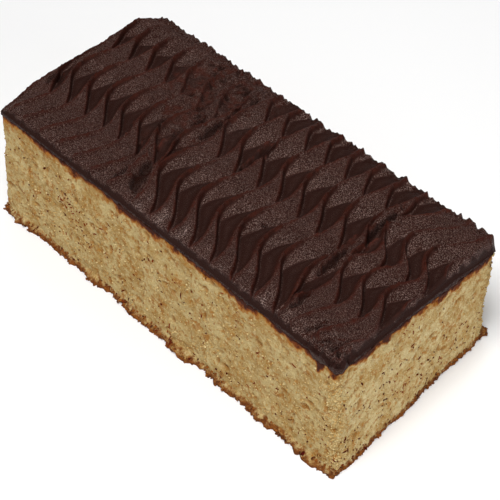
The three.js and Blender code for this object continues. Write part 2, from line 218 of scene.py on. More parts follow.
def crumb_relief(x, y, z, along, to_top):
    """How far the cut crumb stands out, and how deep in a pore each point is, as the painted shade it gets
    there: soft lumps of three sizes, the browned foot that spreads, crumbs broken off the right corners, and
    round pores."""
    turned = ((x, y, z), (y, z, x), (z, x, y))
    relief = sum(high * lumps(*place, wide) for (high, wide), place in zip(CRUMB_LUMPS, turned))
    ragged = sum(high * lumps(x, y, z, wide) for high, wide in FOOT_RAGS)
    ragged = ragged * np.where(at_end(x, y), RAGS_ON_END, 1.0)
    crust_top = CRUST_HEIGHT + 0.8 * lumps(x, y, 5.0, 3.1)
    relief = relief + (crust_flare(x, y) + ragged) * smooth((crust_top - z) / 2.0)
    from_corner = np.hypot(LENGTH / 2 - x, WIDTH / 2 - np.abs(y))
    broken = CHIP_DEPTH * np.maximum(0, lumps(y, z, x, CHIP_REACH / 2))
    broken = broken + 0.9 * np.maximum(0, lumps(z, x, y, 1.7)) + 0.5 * lumps(y, x, z, 0.8)
    relief = relief - smooth(1 - from_corner / CHIP_REACH) * broken
    pore_shade = np.zeros_like(relief)
    for n, (cell, chance, radius, depth, painted_shade) in enumerate(PORES):
        inside = pits(along, z, cell, chance, radius, 11 + 7 * n)
        inside = inside * smooth((z - 2.5) / 3) * smooth((to_top - 1.0) / 2)
        relief = relief - depth * inside
        # Painted shade: how dark the crumb is painted down in the pore.
        pore_shade = np.maximum(pore_shade, painted_shade * inside)
    return relief, pore_shade


def side_point(along, up, lift=0.0):
    """Points of the cut side, with the painted shade of their pores: the plan's edge, rounded and set askew,
    moved out by the crumb's relief and a lift. Up is a share of the side's height."""
    x, y = outline(along)
    cut_x, cut_y = askew(*round_corner(x, y), up)
    side_height = sponge_top(cut_x, cut_y)
    relief, pore_shade = crumb_relief(x, y, up * side_height, along, (1 - up) * side_height)
    out_x, out_y = way_out(x, y)
    relief = relief + lift
    px, py = cut_x + out_x * relief, cut_y + out_y * relief
    return px, py, up * sponge_top(px, py), pore_shade


def in_frame(points):
    """Plan millimetres to the frame's metres, kept inside the CAD model's box."""
    points = (np.asarray(points, float) - [*MIDDLE, 0.0]) * MILLIMETRE
    low, high = (np.array(corner) for corner in cad_box)
    return np.clip(points, low + BOX_MARGIN, high - BOX_MARGIN)


def body(name, points, faces, material, attributes=None):
    """A smooth-shaded piece from points in plan millimetres, a list of face arrays of 3 or 4
    corners, and the values that its points carry. It rides on the cake's one body."""
    corners = np.concatenate([f.ravel() for f in faces]).astype(np.int32)
    totals = np.concatenate([np.full(len(f), f.shape[1]) for f in faces]).astype(np.int32)
    starts = np.concatenate([[0], np.cumsum(totals)[:-1]]).astype(np.int32)
    mesh = bpy.data.meshes.new(name)
    mesh.vertices.add(len(points))
    mesh.vertices.foreach_set("co", in_frame(points).ravel())
    mesh.loops.add(len(corners))
    mesh.loops.foreach_set("vertex_index", corners)
    mesh.polygons.add(len(totals))
    mesh.polygons.foreach_set("loop_start", starts)
    mesh.polygons.foreach_set("use_smooth", np.full(len(totals), True))
    for key, values in (attributes or {}).items():
        layer = mesh.attributes.new(key, "FLOAT", "POINT")
        layer.data.foreach_set("value", np.asarray(values, np.float32).ravel())
    mesh.update()
    mesh.validate()
    piece = bpy.data.objects.new(name, mesh)
    bpy.context.scene.collection.objects.link(piece)
    mesh.materials.append(material)
    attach(piece, "root")
    return piece


def band_faces(lower, upper):
    """The quads between two closed rings of point numbers, lower ring first, facing out."""
    return np.stack([lower, np.roll(lower, -1), np.roll(upper, -1), upper], axis=1)


def fan_faces(ring, hub, up):
    """The triangles from a closed ring to a hub point, facing up or down."""
    this, following = (ring, np.roll(ring, -1)) if up else (np.roll(ring, -1), ring)
    return np.stack([np.full_like(ring, hub), this, following], axis=1)


def srgb(red, green, blue):
    """A colour as a picture shows it, 0 to 255, to the linear colour that a shader takes."""
    c = np.array([red, green, blue]) / 255
    c = np.where(c <= 0.04045, c / 12.92, ((c + 0.055) / 1.055) ** 2.4)
    return (*c.tolist(), 1.0)


def add(tree, kind, inputs=None, **settings):
    """Adds a shader node: settings are its properties, and inputs, by name or number, are either
    values or sockets to link."""
    new = tree.nodes.new(kind)
    for key, value in settings.items():
        setattr(new, key, value)
    for key, value in (inputs or {}).items():
        if isinstance(value, bpy.types.NodeSocket):
            tree.links.new(value, new.inputs[key])
        else:
            new.inputs[key].default_value = value
    return new


def blend(tree, a, b, factor, mode="MIX"):
    """A colour mixed from a to b by the factor."""
    new = add(tree, "ShaderNodeMix", {0: factor, 6: a, 7: b}, data_type="RGBA", blend_type=mode)
    return new.outputs[2]


def between(tree, value, low, high, to_low=0.0, to_high=1.0):
    """A value eased from to_low to to_high as it goes from low to high."""
    new = add(tree, "ShaderNodeMapRange", {0: value, 1: low, 2: high, 3: to_low, 4: to_high},
              interpolation_type="SMOOTHSTEP")
    return new.outputs[0]


def plus(tree, a, b):
    """The sum of two values."""
    return add(tree, "ShaderNodeMath", {0: a, 1: b}, operation="ADD").outputs[0]


def minus(tree, a, b):
    """The first value less the second."""
    return add(tree, "ShaderNodeMath", {0: a, 1: b}, operation="SUBTRACT").outputs[0]


def times(tree, a, b):
    """The product of two values."""
    return add(tree, "ShaderNodeMath", {0: a, 1: b}, operation="MULTIPLY").outputs[0]


def noise(tree, where, per_metre, detail=2.0, rough=0.5):
    """Soft noise in 0..1 on object coordinates."""
    inputs = {"Vector": where, "Scale": per_metre, "Detail": detail, "Roughness": rough}
    return add(tree, "ShaderNodeTexNoise", inputs).outputs["Fac"]


def attribute(tree, name):
    """A value that the mesh carries at its points."""
    return add(tree, "ShaderNodeAttribute", attribute_name=name).outputs["Fac"]


def new_material(name):
    """An empty node material: its tree, its Principled shader and its object coordinates."""
    material = bpy.data.materials.new(name)
    material.use_nodes = True
    tree = material.node_tree
    where = add(tree, "ShaderNodeTexCoord").outputs["Object"]
    return material, tree, tree.nodes["Principled BSDF"], where


def grain_group():
    """Grain that both the crumb and the icing show: two sizes of noise, six parts and four, as a height, and
    a mask of the points over the spark level, where the icing paints its sparkle highlights. Scale is in
    grains per metre."""
    group = bpy.data.node_groups.new("fine_grain", "ShaderNodeTree")
    inputs = (("Vector", "NodeSocketVector"), ("Scale", "NodeSocketFloat"), ("Spark", "NodeSocketFloat"))
    for name, kind in inputs:
        group.interface.new_socket(name, in_out="INPUT", socket_type=kind)
    for name in ("Height", "Sparks"):
        group.interface.new_socket(name, in_out="OUTPUT", socket_type="NodeSocketFloat")
    ins = add(group, "NodeGroupInput")
    coarse = noise(group, ins.outputs["Vector"], ins.outputs["Scale"], 1.0)
    finer = noise(group, ins.outputs["Vector"], times(group, ins.outputs["Scale"], 2.3), 1.0)
    height = plus(group, times(group, coarse, 0.6), times(group, finer, 0.4))
    painted_sparkle_mask = between(group, height, ins.outputs["Spark"], plus(group, ins.outputs["Spark"], 0.09))
    add(group, "NodeGroupOutput", {"Height": height, "Sparks": painted_sparkle_mask})
    return group


GRAIN = grain_group()


def grain(tree, where, per_metre, spark=0.6):
    """Places the grain group in a material: its height and its mask for painted sparkle highlights."""
    new = add(tree, "ShaderNodeGroup", node_tree=GRAIN)
    tree.links.new(where, new.inputs["Vector"])
    new.inputs["Scale"].default_value = per_metre
    new.inputs["Spark"].default_value = spark
    return new.outputs["Height"], new.outputs["Sparks"]


def bump_up(tree, shader, height, strength, distance):
    """Bumps a shader's surface by a height, which stands for a distance in metres."""
    bump = add(tree, "ShaderNodeBump", {"Height": height, "Strength": strength, "Distance": distance})
    tree.links.new(bump.outputs["Normal"], shader.inputs["Normal"])


STRAW, TAN = srgb(206, 185, 133), srgb(182, 149, 89)
BANANA_BLOTCH, WIDE_BLOTCH = srgb(176, 118, 42), srgb(170, 112, 42)
LIGHT_CRUMB, LIGHT_GRAIN, DARK_GRAIN = srgb(224, 209, 164), srgb(224, 208, 166), srgb(146, 102, 48)
PAINTED_PORE_SHADE, LONG_SIDE_SHADE = srgb(164, 108, 40), srgb(236, 231, 221)
TOASTED_FOOT, BURNT_FOOT = srgb(128, 72, 24), srgb(84, 40, 16)
# The browned skin under the icing: its colours from the crumb up, and how far below the icing, in
# millimetres, each one sets in and is full.
SKIN_LAYERS = (
    (srgb(168, 106, 34), 4.0, 2.2),
    (srgb(116, 56, 18), 2.7, 1.5),
    (srgb(66, 28, 14), 1.4, 0.6),
)
DRY_ROUGHNESS, DRY_SPECULAR = 0.93, 0.2


def crumb_colour(tree, where, broad, middle, fine):
    """Straw to tan in broad patches, with blotches of banana, lighter crumb and a fine grain over them, and
    painted shade down in the pores."""
    wide = noise(tree, where, 270, 1.0)
    colour = blend(tree, STRAW, TAN, between(tree, broad, 0.38, 0.64))
    colour = blend(tree, colour, BANANA_BLOTCH, between(tree, middle, 0.545, 0.65, 0.0, 0.75))
    colour = blend(tree, colour, WIDE_BLOTCH, between(tree, wide, 0.60, 0.70, 0.0, 0.75))
    colour = blend(tree, colour, LIGHT_CRUMB, between(tree, middle, 0.47, 0.34, 0.0, 0.55))
    colour = blend(tree, colour, DARK_GRAIN, between(tree, fine, 0.56, 0.66, 0.0, 0.5))
    colour = blend(tree, colour, LIGHT_GRAIN, between(tree, fine, 0.45, 0.35, 0.0, 0.45))
    # Painted shade down in the pores: the crumb turns a deeper orange-brown there.
    in_pore = between(tree, attribute(tree, "pore_shade"), 0.1, 0.95, 0.0, 0.75)
    colour = blend(tree, colour, PAINTED_PORE_SHADE, in_pore)
    return blend(tree, colour, LONG_SIDE_SHADE, attribute(tree, "long_side"), "MULTIPLY")


def crumb_material():
    """Cut crumb, browned at the foot and under the icing along ragged edges."""
    material, tree, shader, where = new_material("cut_banana_crumb")
    broad = noise(tree, where, 110, 3.0, 0.6)
    middle = noise(tree, where, 480, 3.0, 0.65)
    fine, _ = grain(tree, where, 1700)
    colour = crumb_colour(tree, where, broad, middle, fine)
    ragged = times(tree, minus(tree, noise(tree, where, 520, 3.0, 0.65), 0.5), 5.5)
    uneven = times(tree, minus(tree, broad, 0.52), 13.0)
    toast = between(tree, plus(tree, attribute(tree, "to_foot"), ragged), 3.2, 1.0)
    colour = blend(tree, colour, TOASTED_FOOT, toast)
    colour = blend(tree, colour, BURNT_FOOT, times(tree, toast, between(tree, middle, 0.48, 0.62, 0.0, 0.7)))
    to_skin = plus(tree, attribute(tree, "to_skin"), plus(tree, times(tree, ragged, 0.8), uneven))
    for brown, sets_in, full in SKIN_LAYERS:
        colour = blend(tree, colour, brown, between(tree, to_skin, sets_in, full))
    tree.links.new(colour, shader.inputs["Base Color"])
    shader.inputs["Roughness"].default_value = DRY_ROUGHNESS
    shader.inputs["Specular IOR Level"].default_value = DRY_SPECULAR
    bump_up(tree, shader, plus(tree, fine, times(tree, middle, 1.2)), 0.7, 0.001)
    return material


def near_right(x, y, rounding, ease):
    """1 along the near side's right end and round the corner, 0 past there: the skin hangs down
    there and the icing droops over it."""
    at_right = smooth((x - LENGTH / 2 + HANGING_SKIN["along"]) / HANGING_SKIN["ease_along"])
    return at_right * smooth((rounding - y - WIDTH / 2) / ease)


def sponge():
    """The block: one ring of points round it for each height, close together at the browned foot,
    closed by a fan under the icing and another at the foot."""
    along = np.arange(SIDE_STEPS) * AROUND / SIDE_STEPS
    low = np.linspace(0, FOOT_SHARE, FOOT_ROWS + 1)[:-1]
    ups = np.concatenate([low, np.linspace(FOOT_SHARE, 1, UP_STEPS - FOOT_ROWS)])
    grid_along, grid_up = np.meshgrid(along, ups)
    x, y, z, pore_shade = side_point(grid_along, grid_up)
    middle_height = sponge_top(0.0, 0.0)
    plan_x, plan_y = outline(grid_along)
    hanging = near_right(plan_x, plan_y, HANGING_SKIN["round"], HANGING_SKIN["ease_round"])
    hanging = HANGING_SKIN["deep"] * hanging * (0.5 + lumps(plan_x, plan_y, 3.0, 1.9))
    hubs = [[0, 0, 0], [0, 0, middle_height]]
    points = np.concatenate([np.stack([x, y, z], -1).reshape(-1, 3), hubs])
    rings = np.arange(x.size).reshape(UP_STEPS, SIDE_STEPS)
    faces = [band_faces(lower, upper) for lower, upper in zip(rings[:-1], rings[1:])]
    faces += [fan_faces(rings[0], x.size, False), fan_faces(rings[-1], x.size + 1, True)]
    at_points = {
        # The painted shade down in the pores.
        "pore_shade": np.append(pore_shade.ravel(), [0, 0]),
        "to_foot": np.append(z.ravel(), [0, middle_height]),
        "to_skin": np.append((sponge_top(x, y) - z - hanging).ravel(), [middle_height, 0]),
        "long_side": np.append(np.abs(way_out(plan_x, plan_y)[1]).ravel(), [0, 0]),
    }
    return body("sponge_block", points, faces, crumb_material(), at_points)


block = sponge()
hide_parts("cake")

# ---------------------------------------------------------------- icing
# Dark cocoa icing, spread 3 to 8 mm thick and combed across the cake in three passes of wavy
# strokes. Each trough is a row of leaf-shaped facets that dive under the next stroke's edge,
# with a smooth hollow beside them. It set with a fine grain, and tore where it was worked twice.

ICING_GAP, OVERHANG = 0.3, 0.5           # over the sponge's top, and out past its sides
TROUGH, CREST = 2.5, 6.4                 # heights over the sponge's top
RIM_HEIGHT, RIM_REACH = 2.1, 2.4         # the thin cut rim along the near side
# The cut right end: distance from the far side, and the icing's height there.
RIGHT_END = ((-1, 1.4), (10, 1.8), (24, 3.0), (46, 2.8), (60, 1.9), (75, 1.7), (89, 1.6))
END_REACH = 2.4
LEFT_ROLL = {"height": 1.2, "reach": 8.0, "length": 24.0}      # rolled thin at the near left corner
FAR_RIDGE, FAR_RISE = 0.62, 2.0          # share of the ridges left at the far side, and the bed's rise to it
LEAST_ICING, LEAST_STEP = 1.0, 0.05      # least thickness, and least distance between two columns
CREST_SAG, SAG_END = 0.2, 5.0            # a crest's sag before a hollow opens, and how soon it's over
EDGE, BANK = 0.11, 0.09                  # shares of a trough: a stroke's steep edge, the far bank at rest
TIP = 0.06                               # how far the edge has moved where a facet ends in its tip
FIRST_FACET = 34.0                       # how far before its hollow a pass's first facet starts
STROKE_LATE = 1.3                        # how early or late the hollows of each trough may open
WANDER, WANDER_SIZE = 0.45, 9.0          # how far a crest strays from its pass, and over what length
# The painted glint, a highlight painted into the icing's colour, that the facets get close to the near side.
NEAR_PAINTED_GLINT = {"from": 13.0, "over": 7.0}                       # where the facets' near ends glint
COLUMNS, ROWS = 21, 218                  # columns in a trough, rows in all

# Each pass: its first crest, the pitch, the crests, how slowly a hollow opens, where the strokes fade in, how
# much painted glint (a highlight painted into the colour) the facets get, half the width of the dry line
# along a crest, how the crests swing along the stroke, and the hollows as (where one opens, its widest place,
# where it closes), all from the far side.
PASSES = (
    {"first": -90.0, "pitch": 10.0, "crests": 7, "lens": 1.7, "fades": (3.0, 9.0), "painted_shine": 0.6, "dry": 0.6,
     "swing": ((-4, 4.6), (8, 4.0), (19, 4.5), (44, 0), (66.5, 5.8), (91, -0.5)),
     "hollows": ((-24, -18, -8), (11, 18.6, 31), (37, 52.6, 68), (71, 96, 112))},
    {"first": -24.0, "pitch": 11.1, "crests": 8, "lens": 1.0, "fades": (-9.0, 0.0), "painted_shine": 1.0, "dry": 0.75,
     "swing": ((-4, 5.6), (2, 4.2), (24, 0.4), (38, 3.2), (59, 0), (82, 7.4), (91, 8)),
     "hollows": ((-9, 6.5, 18.8), (21.5, 31.5, 47), (52.5, 66.6, 88), (97, 103, 110))},
    {"first": 58.9, "pitch": 10.1, "crests": 4, "lens": 1.1, "fades": (-9.0, 0.0), "painted_shine": 0.9, "dry": 1.1,
     "swing": ((-3, 13), (3, 9.8), (22, 0), (35.5, 6.3), (46.5, 2.1), (62, 5.5), (85, -1), (91, -1.5)),
     "hollows": ((-24, -18, -8), (20.5, 29.8, 42), (44.4, 52.6, 68), (74, 94, 112))},
)
# Where the comb tore the icing: centre, slant of X against Y, reach along X and Y, depth.
TEARS = (
    (-1.0, 11, 0, 1.5, 10, 2.6), (57.8, 19, 0, 1.4, 10, 2.6), (57.7, -9.5, 0, 1.5, 7.5, 2.8),
    (63, -31, 0, 1.3, 5, 2.2), (-31, 8, 0, 1.4, 4, 2.2), (-23.5, 33, 0, 1.1, 3, 2.2),
    (-23.8, 8.5, 0, 2.0, 6, 2.8), (-23.8, -30, -0.4, 2.7, 7.5, 2.8), (-31, -34, 0, 0.8, 4.5, 1.8),
    (-40.5, -3.5, -0.7, 0.8, 4, 1.7), (-31.5, -6, -0.45, 0.8, 4.5, 1.7), (75.5, -36, 0.3, 0.8, 4, 1.6),
    (-36, -20, -0.6, 0.7, 5, 1.3), (-47, -14, -0.5, 0.7, 4, 1.1), (82, -38, 0.6, 0.8, 3, 1.3),
    (88, -36, 0.8, 0.8, 3, 1.2), (-91, -16, -0.2, 1.2, 5, 1.6),
)
# Small pits left by air in the icing: centre, reach along X and Y, depth.
AIR_PITS = (
    (-52.4, 36.6, 1.7, 1.2, 2.0), (-48.4, 37.8, 1.5, 1.2, 2.0), (-41.9, 32.7, 1.5, 1.3, 2.0),
    (-30.7, 33.9, 1.2, 1.6, 2.2), (-35.3, 27.5, 1.6, 1.3, 2.0), (-37.2, 22.0, 1.3, 1.1, 1.8),
    (26.9, -13.2, 1.3, 0.9, 2.4), (-86.5, -2.0, 1.0, 0.8, 1.2), (-40, 24.5, 1.0, 0.9, 1.4),
    (-44.6, 27.8, 1.1, 0.8, 1.3),
)
TEAR_LIP, PIT_LIP = 0.35, 0.3            # how high the icing is pushed up round a tear or a pit
# Ragged ridges pushed up along the seams between two passes: from (X, Y) to (X, Y), far end first.
SEAM_LIPS = (
    (54.6, 8.0, 57.0, -21.0), (55.6, 32.0, 55.8, 12.0), (60.8, 24.0, 60.0, -2.0),
    (-34.7, -1.5, -28.5, -35.0), (-3.6, 21.0, -2.6, 4.0),
)
SEAM_LIP = {"height": 1.6, "reach": 0.9}
CRAGGY_CORNER = {"x": 88, "y": -40, "across": 9, "along": 6, "relief": 2.4}
LUMPY = {"x": -38, "y": 26, "across": 17, "along": 24, "worn": 0.45}
LUMPY_RELIEF = ((1.1, 6.0, 0.0), (1.3, 2.8, 3.0), (1.1, 1.5, 6.0))       # height, size and seed of its lumps


def through(points, at):
    """A value that swings through turning points, by half a cosine wave between each two."""
    places, values = np.array(points, float).T
    i = np.clip(np.searchsorted(places, at) - 1, 0, len(places) - 2)
    t = np.clip((at - places[i]) / (places[i + 1] - places[i]), 0, 1)
    return mix(values[i], values[i + 1], (1 - np.cos(np.pi * t)) / 2)


def crest_lines(from_far):
    """X of every crest on each row, in order and clear of each other and of the two ends."""
    end = LENGTH / 2 + OVERHANG
    lines, owners = [], []
    for n, one in enumerate(PASSES):
        for i in range(one["crests"]):
            wander = WANDER * lumps(37.0 * (i + 11 * n), from_far, 0.0, WANDER_SIZE)
            lines.append(one["first"] + one["pitch"] * i + through(one["swing"], from_far) + wander)
            owners.append(n)
    room = LEAST_STEP * COLUMNS
    for i, line in enumerate(lines):
        lines[i] = np.maximum(line, (lines[i - 1] if i else -end) + room)
    for i, line in enumerate(lines):
        lines[i] = np.minimum(line, end - room * (len(lines) - i))
    return lines, owners


def sunk(t):
    """Level of a facet along itself, one less t to the 2.2: nearly flush with its crests at first,
    then diving."""
    return 1 - np.clip(t, 0, 1) ** 2.2


def stroke_edges(one, from_far):
    """Where the edges of a pass lie across its troughs, as shares of the trough, and how high its
    facets are. The stroke's edge leaves the left crest as a hollow opens and reaches the right
    crest where it closes. The hollow's own line runs from the right crest to its widest place and
    back with the edge. A facet sinks from its start until it dives under the next edge. The left
    crest sags along the facet, and rises again just before the next hollow opens."""
    opens, widest, closes = np.array(one["hollows"], float).T
    k = np.clip(np.searchsorted(opens, from_far, side="right") - 1, 0, len(opens) - 2)
    start = np.where(k > 0, opens[np.maximum(k - 1, 0)], opens[0] - FIRST_FACET)
    opening = np.clip((from_far - opens[k]) / (widest[k] - opens[k]), 0, 1)
    closing = np.clip((from_far - widest[k]) / (closes[k] - widest[k]), 0, 1)
    edge = TIP * opening ** 2 + (1 - TIP) * closing ** 1.2
    line_opening = mix(1 - BANK, TIP + EDGE, opening ** one["lens"])
    line = np.where(closing > 0, np.maximum(edge, TIP) + EDGE, line_opening)
    facet = sunk((from_far - opens[k]) / (widest[k + 1] - opens[k]))
    facet_at_close = sunk((closes[k] - opens[k]) / (widest[k + 1] - opens[k]))
    floor = np.where(
        closing > 0,
        mix(0.0, facet_at_close, closing ** 2.4),
        sunk((from_far - start) / (widest[k] - start)),
    )
    floor = np.where(closing >= 1, facet, floor)
    low = opens[k + 1] - SAG_END
    sag = smooth((from_far - opens[k] - 2) / (low - opens[k] - 2)) * (1 - smooth((from_far - low) / SAG_END))
    return edge, np.minimum(line, 1 - BANK), facet, floor, 1 - CREST_SAG * sag


def column_shares(edge, line):
    """Where the columns lie across a trough on each row: at equal steps of a density that is 1, plus
    a bell at each crest, at the stroke's edge and at the hollow's line, summed and turned round."""
    t = np.linspace(0, 1, 121)
    edge, line = edge[:, None], line[:, None]
    at_edge = smooth(edge / 0.1) * smooth((1 - edge) / 0.1)
    at_line = smooth((1 - BANK - line) / 0.1)
    density = 1 + 0.8 * bell(t, 0, 0.06) + 0.8 * bell(t, 1, 0.06)
    density = density + 2.2 * at_edge * bell(t, edge + EDGE / 2, 0.09) + 1.6 * at_line * bell(t, line, 0.05)
    total = np.cumsum((density[:, 1:] + density[:, :-1]) / 2, axis=1)
    total = np.concatenate([np.zeros((len(edge), 1)), total], axis=1) / total[:, -1:]
    shares = []
    for want in np.arange(COLUMNS) / COLUMNS:
        i = np.clip((total <= want).sum(1) - 1, 0, len(t) - 2)[:, None]
        low, high = (np.take_along_axis(total, i + k, 1)[:, 0] for k in (0, 1))
        shares.append(t[i[:, 0]] + (want - low) / (high - low) * t[1])
    return shares


def falling(t):
    """Level down a steep edge: one less t, to the 1.6."""
    return (1 - np.clip(t, 0, 1)) ** 1.6


def stroke_share(t, edge, line, facet, floor, crest, next_crest):
    """Height across a trough, 1 at its crests: down from the left crest to the facet, down the stroke's edge
    to the floor, and up the hollow's side to the right crest. Also how smooth the icing is left there, 1 in
    the hollow and on the edge, which the material also paints darker as shade; how near a facet's low end it
    is, as painted glint; and the dry lip along the top of the stroke's edge."""
    above_facet = np.maximum(0, crest - facet)
    top_of_edge = facet + above_facet * falling(edge / EDGE)
    down_edge = floor + (top_of_edge - floor) * falling((t - edge) / EDGE)
    share = np.where(t < edge, facet + above_facet * falling(t / EDGE), down_edge)
    side = np.clip((t - line) / (1 - line), 0, 1)
    share = np.minimum(1.0, share + np.maximum(0, next_crest - floor) * side ** 1.5)
    # The steep edge face and the hollow are smooth, and the same mask paints them darker: painted shade on
    # the edge face, and a painted lighter middle to the hollow.
    on_edge = smooth((1 - (t - edge) / EDGE) * 2) * np.clip((top_of_edge - floor) * 4, 0, 1)
    on_edge = np.where(t < edge, 0.0, on_edge)
    in_hollow = smooth((t - line) / 0.14 + 0.4) * smooth((1 - BANK - line) / 0.05)
    in_hollow = in_hollow * (1 - 0.22 * bell(side, 0.5, 0.22))
    # Painted glint, a highlight painted into the colour, growing toward the facet's low end.
    painted_glint = 0.8 * smooth(1.2 * np.where(t < edge, 1 - facet, 1 - floor))
    lip = bell(t, edge - 0.015, 0.055) * smooth((top_of_edge - floor) * 5)
    return share, np.maximum(on_edge, in_hollow), painted_glint, lip


def inside_oval(x, y, place):
    """1 in the middle of an oval place of the plan, by a bell along each of its axes."""
    return bell(x, place["x"], place["across"]) * bell(y, place["y"], place["along"])


def combed_height(x, y, share):
    """Height of the icing over the sponge, before tears: ridges on a bed that rises to the far
    side, fading at the near rim and rolled thin at the near left corner."""
    ridge = (CREST - TROUGH) * mix(FAR_RIDGE, 1.0, smooth((WIDTH / 2 - y) / 12))
    worn = 1 - LUMPY["worn"] * inside_oval(x, y, LUMPY)
    combed = TROUGH + ridge * mix(0.5, share, worn) + FAR_RISE * smooth(2 * y / WIDTH)
    from_near = smooth((y + WIDTH / 2 + OVERHANG) / RIM_REACH)
    from_left = smooth((x + LENGTH / 2 + OVERHANG) / LEFT_ROLL["reach"])
    past_roll = smooth((y + WIDTH / 2) / LEFT_ROLL["length"])
    rolled = mix(LEFT_ROLL["height"], combed, mix(from_left, 1.0, past_roll))
    rim = mix(np.minimum(RIM_HEIGHT, rolled), rolled, from_near)
    cut_end = np.minimum(through(RIGHT_END, WIDTH / 2 - y), rim)
    return mix(cut_end, rim, smooth((LENGTH / 2 + OVERHANG - x) / END_REACH))


def torn_depth(x, y):
    """Depth of the tears, pits and lumps. Tears are steep ovals with a ragged outline and a low lip,
    pits are round with a thin lip, and the lumpy place and the near right corner are rough."""
    depth = np.zeros_like(x)
    for cx, cy, slant, rx, ry, deep in TEARS:
        aside = x - cx - slant * (y - cy) + 0.6 * lumps(y, cx, 0.0, 3.0)
        away = (aside / rx) ** 2 + ((y - cy) / ry) ** 2
        inside = smooth(1.5 - away - 0.5 * lumps(x, y, cx, 1.6))
        depth += deep * inside - TEAR_LIP * smooth(2.4 - away) * (1 - inside)
    for cx, cy, rx, ry, deep in AIR_PITS:
        away = ((x - cx) / rx) ** 2 + ((y - cy) / ry) ** 2
        depth += deep * np.exp(-away ** 2) - PIT_LIP * np.exp(-(away - 1.6) ** 2 * 3)
    lumpy = sum(high * lumps(x, y, seed, size) for high, size, seed in LUMPY_RELIEF)
    craggy = CRAGGY_CORNER["relief"] * (lumps(x, y, 2.0, 1.8) + 0.7 * lumps(x, y, 8.0, 0.9))
    return depth - inside_oval(x, y, LUMPY) * lumpy - inside_oval(x, y, CRAGGY_CORNER) * craggy


def seam_lip(x, y):
    """How high a seam's lip stands, from 0 to 1: a bell across its wandering line, broken up by lumps."""
    lip = np.zeros_like(x)
    for x0, y0, x1, y1 in SEAM_LIPS:
        aside = x - mix(x0, x1, np.clip((y0 - y) / (y0 - y1), 0, 1)) + 1.2 * lumps(y, x0, 0.0, 3.0)
        along = smooth((y0 - y) / 3 + 0.5) * smooth((y - y1) / 3 + 0.5)
        broken = smooth(0.8 + 1.5 * lumps(x, y, x0, 1.8))
        lip = np.maximum(lip, along * bell(aside, 0, SEAM_LIP["reach"]) * broken)
    return lip


def on_icing(x, y, height):
    """Puts a place of the plan on the block, at a height over the plane of the sponge's top."""
    px, py = askew(*round_corner(x, y, OVERHANG), 1.0)
    return np.stack([px, py, sponge_top(px, py) + height], -1)


def trough_columns(one, y_rows, left, right, shape, next_crest):
    """The columns of one trough, from its left crest to just short of the right one. Each holds, for every
    row: X, the height's share, how smooth the icing is (painted darker there as shade), how dry, and how much
    painted glint it gets."""
    edge, line, facet, floor, crest = shape
    width = right - left
    depth = np.minimum(1, width / (0.75 * one["pitch"])) ** 0.7
    fade_from, fade_to = one["fades"]
    shown = smooth((WIDTH / 2 - y_rows - fade_from) / (fade_to - fade_from))
    near = smooth((NEAR_PAINTED_GLINT["from"] - (y_rows + WIDTH / 2)) / NEAR_PAINTED_GLINT["over"])
    columns = []
    for t in column_shares(edge, line):
        share, sleek_and_shaded, painted_glint, lip = stroke_share(t, edge, line, facet, floor, crest, next_crest)
        x = left + t * width
        dry = bell(np.minimum(t, 1 - t) * width, 0, one["dry"]) * smooth((share - 0.6) / 0.2)
        dry = np.maximum(dry, 0.9 * lip) * shown * (0.9 + 0.9 * lumps(x, y_rows, 3.0, 1.8))
        share = mix(0.75, 1 - depth * (1 - share), shown)
        # A painted glint across the middle of each trough close to the near side, all of it scaled by the
        # pass's painted shine.
        near_painted_glint = near * smooth(0.4 + 1.6 * lumps(x, y_rows, 21.0, 3.5)) * bell(t, 0.35, 0.3)
        painted_glint = np.maximum(painted_glint, near_painted_glint) * shown * one["painted_shine"]
        columns.append((x, share, sleek_and_shaded * shown, dry, painted_glint))
    return columns


def combed_grid():
    """X, Y and what trough_columns gives, on the icing's grid: rows from the near side to the far
    side, and columns that follow the crests, close together beside each. A trough's strokes are
    those of the pass on its left."""
    y_rows = np.linspace(-WIDTH / 2 - OVERHANG, WIDTH / 2 + OVERHANG, ROWS)
    from_far = WIDTH / 2 - y_rows
    end = np.full_like(y_rows, LENGTH / 2 + OVERHANG)
    lines, owners = crest_lines(from_far)
    stops = [-end, *lines, end]
    passes = [PASSES[n] for n in [owners[0], *owners]]
    shapes = [stroke_edges(one, from_far + STROKE_LATE * dice(i, 3, 1)) for i, one in enumerate(passes)]
    columns = []
    for i, one in enumerate(passes):
        next_crest = shapes[min(i + 1, len(lines))][-1]
        columns += trough_columns(one, y_rows, stops[i], stops[i + 1], shapes[i], next_crest)
    columns.append((end, np.ones_like(end), 0 * end, 0 * end, 0 * end))
    x, *shares = (np.stack(part, axis=1) for part in zip(*columns))
    return x, np.broadcast_to(y_rows[:, None], x.shape), *shares


